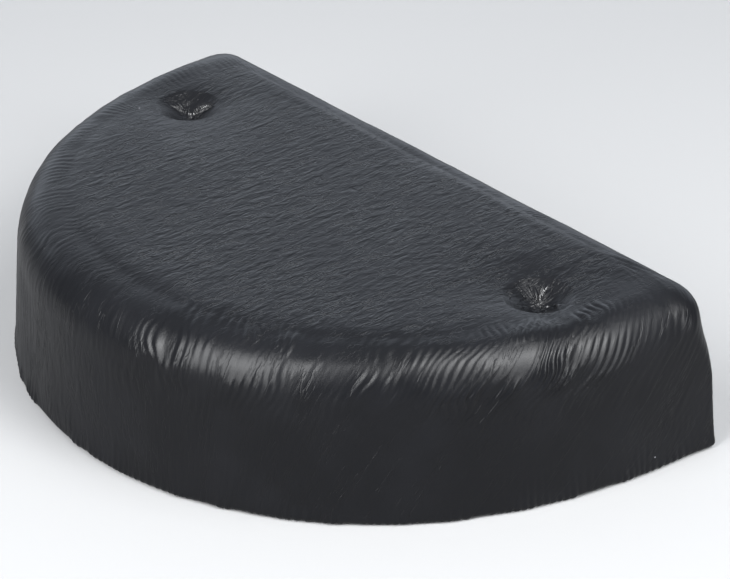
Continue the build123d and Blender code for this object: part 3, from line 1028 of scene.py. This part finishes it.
def vinyl_material(settings):
    """Semi-gloss black coated fabric: fine drawn creases with painted shade along them, a pebbled skin and a
    little dust.

    The creases run front to back on the top and up the wall; folds in the tufts shine more."""
    material, tree, shader, place = new_material("black_vinyl", 0.33, specular=0.39)
    wrap = attribute(tree, "wall_wrap", "Vector")
    wall, fold = attribute(tree, "wall_share"), attribute(tree, "tuft_fold")
    top = place_group(tree, "crease_strokes", Vector=place, Scale=(600, 190, 190))
    side = place_group(tree, "crease_strokes", Vector=wrap, Scale=(420, 420, 110))
    soft_side = math_node(tree, "MULTIPLY", side["Height"], 0.8)
    strokes = math_node(tree, "MULTIPLY", blend_value(tree, wall, top["Height"], soft_side),
                        attribute(tree, "stroke_depth"))
    mask = blend_value(tree, wall, top["Mask"], side["Mask"])
    skin = place_group(tree, "pebbles", Vector=place, Size=2600.0)
    dust = place_group(tree, "dust_specks", Vector=place, Cells=95.0, Radius=0.022)
    drawn = bump(tree, strokes, 0.50 * MM, 0.90)
    tree.links.new(bump(tree, skin["Height"], 0.035 * MM, 0.7, drawn), shader.inputs["Normal"])
    base = blend_colour(tree, remap(tree, skin["Mottle"], 0.35, 0.7), tinted(settings.colour),
                        tinted(settings.colour, 1.35))
    # Painted shade: the crease lines darken the vinyl's colour towards near-black.
    crease_shaded = blend_colour(tree, math_node(tree, "MULTIPLY", mask, 0.35), base, CREASE_SHADE_COLOUR)
    dusty = blend_colour(tree, dust["Mask"], crease_shaded, DUST_COLOUR)
    tree.links.new(dusty, shader.inputs["Base Color"])
    dull = remap(tree, skin["Mottle"], 0.3, 0.75, 0.28, 0.38)
    glossy = math_node(tree, "MULTIPLY", remap(tree, fold, 0.10, 0.55), 0.10)
    rough = math_node(tree, "ADD", math_node(tree, "SUBTRACT", dull, glossy),
                      math_node(tree, "MULTIPLY", dust["Mask"], 0.5))
    tree.links.new(rough, shader.inputs["Roughness"])
    tree.links.new(remap(tree, fold, 0.08, 0.40), shader.inputs["Coat Weight"])
    shader.inputs["Coat Roughness"].default_value = 0.16
    shader.inputs["Coat IOR"].default_value = 1.8
    return material


def foam_material(settings):
    """Cream open-cell foam: small round cells over soft noise, darker where they are lower, as painted shade
    in the hollows.
    """
    material, tree, shader, place = new_material("foam", 0.95)
    cells = place_group(tree, "pebbles", Vector=place, Size=900.0)
    # Painted shade: the colour darkens with the cells' height, deepest in their hollows.
    tree.links.new(blend_colour(tree, remap(tree, cells["Height"], 0.3, 0.9),
                                tinted(settings.foam_colour, 0.8), tinted(settings.foam_colour)),
                   shader.inputs["Base Color"])
    tree.links.new(bump(tree, cells["Height"], 0.4 * MM, 0.7), shader.inputs["Normal"])
    return material


def dust_cloth_material(settings):
    """Black non-woven cloth: matted fibres pressed into a grid of small dimples, with lint, and painted
    shade in the dimples and between the raised fibres.
    """
    material, tree, shader, place = new_material("dust_cloth", 0.86, specular=0.2)
    fibres = add_node(tree, "TexNoise", Vector=place, Scale=1500.0, Detail=5.0, Roughness=0.7,
                      Distortion=1.5)
    dimples = add_node(tree, "TexVoronoi", Vector=place, Scale=620.0, Randomness=0.12)
    pressed = remap(tree, dimples.outputs["Distance"], 0.12, 0.34)
    height = math_node(tree, "ADD", math_node(tree, "MULTIPLY", fibres.outputs[0], 0.8), pressed)
    lint = place_group(tree, "dust_specks", Vector=place, Cells=160.0, Radius=0.03)
    # Painted shade: the colour is darker where the cloth is lower, in the pressed dimples and between the
    # fibres.
    cloth = blend_colour(tree, math_node(tree, "MULTIPLY", fibres.outputs[0], pressed),
                         tinted(settings.dust_cloth_colour), tinted(settings.dust_cloth_colour, 2.4))
    dusty = blend_colour(tree, lint["Mask"], cloth, LINT_COLOUR)
    tree.links.new(dusty, shader.inputs["Base Color"])
    tree.links.new(bump(tree, height, 0.15 * MM, 0.8), shader.inputs["Normal"])
    return material


def tape_material(settings):
    """Unbleached cotton tape: a plain weave with slubs, and painted shade in the gaps between its threads.
    """
    material, tree, shader = new_material("cotton_tape", 0.9, specular=0.2)[:3]
    weave = place_group(tree, "plain_weave", Vector=attribute(tree, "weave", "Vector"), Threads=1700.0)
    # Painted shade in the gaps between the threads, from the weave's height, times the slubs' own tone.
    shade = math_node(tree, "MULTIPLY", weave["Height"], remap(tree, weave["Slub"], 0.2, 0.6, 0.6, 1.0))
    thread = blend_colour(tree, shade, tinted(settings.tape_colour, 0.62), tinted(settings.tape_colour))
    tree.links.new(thread, shader.inputs["Base Color"])
    tree.links.new(bump(tree, weave["Height"], 0.18 * MM, 0.9), shader.inputs["Normal"])
    return material


PLY_COUNT = 5


def plywood_material(settings):
    """Plywood: long grain on the faces, and glued plies of two tones at the edges."""
    material, tree, shader, place = new_material("plywood", 0.62, specular=0.3)
    grain = add_node(tree, "TexNoise", Vector=stretched(tree, place, (14, 260, 60)), Scale=1.0,
                     Detail=6.0, Roughness=0.6, Distortion=0.6)
    pore = add_node(tree, "TexNoise", Vector=stretched(tree, place, (160, 2600, 900)), Scale=1.0,
                    Detail=2.0)
    face = blend_colour(tree, remap(tree, grain.outputs[0], 0.36, 0.66), tinted(settings.wood_colour),
                        tinted(settings.wood_colour, 0.55))
    level = add_node(tree, "SeparateXYZ", Vector=place).outputs["Z"]
    ply_height = float(BOARD_HIGH[2] - BOARD_LOW[2]) / PLY_COUNT
    ply = math_node(tree, "DIVIDE", math_node(tree, "SUBTRACT", level, float(BOARD_LOW[2])), 2 * ply_height)
    part = math_node(tree, "FRACT", ply)
    crossed = math_node(tree, "GREATER_THAN", part, 0.5)
    from_joint = math_node(tree, "ABSOLUTE", math_node(tree, "SUBTRACT", part, 0.5))
    glue = remap(tree, from_joint, 0.0, 0.02, 1.0, 0.0)
    normal = add_node(tree, "NewGeometry").outputs["Normal"]
    upright = add_node(tree, "SeparateXYZ", Vector=normal).outputs["Z"]
    side = remap(tree, math_node(tree, "ABSOLUTE", upright), 0.3, 0.7, 1.0, 0.0)
    end_grain = blend_colour(tree, math_node(tree, "MULTIPLY", crossed, side), face,
                             tinted(settings.wood_colour, 0.38))
    glued = blend_colour(tree, math_node(tree, "MULTIPLY", glue, side), end_grain, GLUE_COLOUR)
    tree.links.new(glued, shader.inputs["Base Color"])
    rough = remap(tree, grain.outputs[0], 0.3, 0.7, 0.55, 0.72)
    tree.links.new(rough, shader.inputs["Roughness"])
    tree.links.new(bump(tree, pore.outputs[0], 0.08 * MM, 0.6), shader.inputs["Normal"])
    return material


def plated_material(name, bright, dull, roughness, size):
    """Plated steel with dull spots and drawn lines."""
    material, tree, shader, place = new_material(name, roughness, metallic=1.0)
    marks = place_group(tree, "tarnish", Vector=place, Size=size)
    tree.links.new(blend_colour(tree, marks["Mask"], bright, dull), shader.inputs["Base Color"])
    rough = math_node(tree, "ADD", math_node(tree, "MULTIPLY", marks["Mask"], 0.25), roughness)
    tree.links.new(rough, shader.inputs["Roughness"])
    tree.links.new(bump(tree, marks["Height"], 0.02 * MM, 0.5), shader.inputs["Normal"])
    return material


def dress_nodes(names, material):
    """Gives CAD nodes their finished material."""
    for name in names:
        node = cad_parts[name]
        node.data.materials.clear()
        node.data.materials.append(material)


class PAD_OT_base_board(bpy.types.Operator):
    """Give the base board its plywood finish"""

    bl_idname = "pad.base_board"
    bl_label = "Base board finish"

    def execute(self, context):
        dress_nodes(["base_board"], plywood_material(context.scene.pad_inside))
        return {"FINISHED"}


class PAD_OT_fasteners(bpy.types.Operator):
    """Give the staples and tee nuts their plated finishes"""

    bl_idname = "pad.fasteners"
    bl_label = "Staple and tee nut finishes"

    def execute(self, context):
        wire = plated_material("galvanised_wire", *WIRE_COLOURS, 0.28, 700.0)
        zinc = plated_material("zinc_plate", *ZINC_COLOURS, 0.24, 350.0)
        dress_nodes(["hem_staples", "dust_cover_staples", "tuft_tape_staples"], wire)
        dress_nodes(["tee_nut_left", "tee_nut_right"], zinc)
        return {"FINISHED"}


# ------------------------------------------------------------------------------ stage
SOFTBOX_DISTANCE = 1.0
SKY_COLOUR = (0.88, 0.93, 1.0, 1)
SKY_STRENGTH = 0.3
FLOOR_BOUNCE = 0.53         # share of the floor's colour that its reflected light keeps
FLOOR_SPAN = 3.0            # half the floor's width
SENSOR_WIDTH = 36
SOFTBOX_COLOUR = (0.98, 0.99, 1)
PANEL_COLOUR = (0.80, 0.88, 1.0)
SOFTBOXES = (
    # name, azimuth round the pad and elevation in degrees, width and height in metres, watts, colour
    ("softbox_left", 4, 38, (0.56, 1.12), 10.8, SOFTBOX_COLOUR),
    ("softbox_left_core", 8, 43, (0.26, 0.50), 2.4, SOFTBOX_COLOUR),
    ("softbox_right", 96, 36, (0.52, 1.05), 6.4, SOFTBOX_COLOUR),
    ("softbox_right_high", 116, 58, (0.50, 0.70), 3.6, SOFTBOX_COLOUR),
    ("softbox_right_core", 99, 43, (0.28, 0.50), 2.2, SOFTBOX_COLOUR),
    ("back_panel", 226, 21, (2.2, 0.70), 2.5, PANEL_COLOUR),
    ("back_strip", 229, 10, (1.3, 0.22), 0.30, PANEL_COLOUR),
    ("top_panel", 229, 72, (1.1, 0.55), 0.5, (0.9, 0.94, 1.0)),
)


def from_azimuth(azimuth, elevation):
    """The direction at an azimuth from the front and an elevation, both in radians."""
    return Vector((math.sin(azimuth) * math.cos(elevation), -math.cos(azimuth) * math.cos(elevation),
                   math.sin(elevation)))


def hang_softbox(name, azimuth, elevation, size, power, colour):
    """A soft rectangular light that faces the pad."""
    data = bpy.data.lights.new(name, "AREA")
    data.shape = "RECTANGLE"
    data.size, data.size_y = size
    data.energy = power
    data.color = colour
    light = bpy.data.objects.new(name, data)
    way = from_azimuth(math.radians(azimuth), math.radians(elevation))
    light.location = way * SOFTBOX_DISTANCE
    light.rotation_euler = way.to_track_quat("Z", "Y").to_euler()
    bpy.context.scene.collection.objects.link(light)


class PAD_OT_stage(bpy.types.Operator):
    """Lay the floor, hang the studio lights and set the camera"""

    bl_idname = "pad.stage"
    bl_label = "Stage, lights and camera"

    def execute(self, context):
        scene, settings = context.scene, context.scene.pad_stage
        corners = np.array([[-1, -1, 0], [1, -1, 0], [1, 1, 0], [-1, 1, 0]]) * FLOOR_SPAN
        sheet = make_mesh("studio_floor", corners, [np.array([[0, 1, 2, 3]])])
        floor = bpy.data.objects.new("studio_floor", sheet)
        scene.collection.objects.link(floor)
        material, tree, shader = new_material("studio_floor", 0.9, specular=0.1)[:3]
        seen = add_node(tree, "LightPath").outputs["Is Camera Ray"]
        tree.links.new(blend_colour(tree, seen, tinted(settings.floor_colour, FLOOR_BOUNCE),
                                    tinted(settings.floor_colour)), shader.inputs["Base Color"])
        floor.data.materials.append(material)

        world = bpy.data.worlds.new("studio")
        world.use_nodes = True
        sky = world.node_tree.nodes["Background"].inputs
        sky["Color"].default_value = SKY_COLOUR
        sky["Strength"].default_value = SKY_STRENGTH
        scene.world = world
        for softbox in SOFTBOXES:
            hang_softbox(*softbox)

        data = bpy.data.cameras.new("camera")
        data.lens = settings.lens
        data.sensor_width = SENSOR_WIDTH
        camera = bpy.data.objects.new("camera", data)
        back = from_azimuth(settings.azimuth, settings.elevation)
        camera.location = Vector(settings.target) + back * settings.distance
        camera.rotation_euler = back.to_track_quat("Z", "Y").to_euler()
        scene.collection.objects.link(camera)
        scene.camera = camera
        scene.view_settings.view_transform = "Standard"
        return {"FINISHED"}


# ------------------------------------------------------------------------------ panel and start
class PAD_PT_sidebar(bpy.types.Panel):
    """Lists the pad's pieces in the sidebar"""

    bl_label = "Armrest Pad"
    bl_idname = "PAD_PT_sidebar"
    bl_space_type = "VIEW_3D"
    bl_region_type = "UI"
    bl_category = "Armrest Pad"

    def draw(self, context):
        for operator in OPERATORS:
            self.layout.operator(operator.bl_idname)


OPERATORS = (PAD_OT_stage, PAD_OT_vinyl_cover, PAD_OT_foam_block, PAD_OT_dust_cloth, PAD_OT_tuft_tapes,
             PAD_OT_base_board, PAD_OT_fasteners)
CLASSES = (PadCoverSettings, PadInsideSettings, PadStageSettings, *OPERATORS, PAD_PT_sidebar)


def register():
    """Registers the classes and hangs their settings on the scene."""
    for cls in CLASSES:
        bpy.utils.register_class(cls)
    bpy.types.Scene.pad_cover = bpy.props.PointerProperty(type=PadCoverSettings)
    bpy.types.Scene.pad_inside = bpy.props.PointerProperty(type=PadInsideSettings)
    bpy.types.Scene.pad_stage = bpy.props.PointerProperty(type=PadStageSettings)


def unregister():
    """Takes away what register added."""
    del bpy.types.Scene.pad_stage
    del bpy.types.Scene.pad_inside
    del bpy.types.Scene.pad_cover
    for cls in reversed(CLASSES):
        bpy.utils.unregister_class(cls)


def main():
    """Builds every piece in order."""
    register()
    bpy.ops.pad.stage()
    bpy.ops.pad.vinyl_cover()
    bpy.ops.pad.foam_block()
    bpy.ops.pad.dust_cloth()
    bpy.ops.pad.tuft_tapes()
    bpy.ops.pad.base_board()
    bpy.ops.pad.fasteners()


if __name__ == "__main__":
    main()
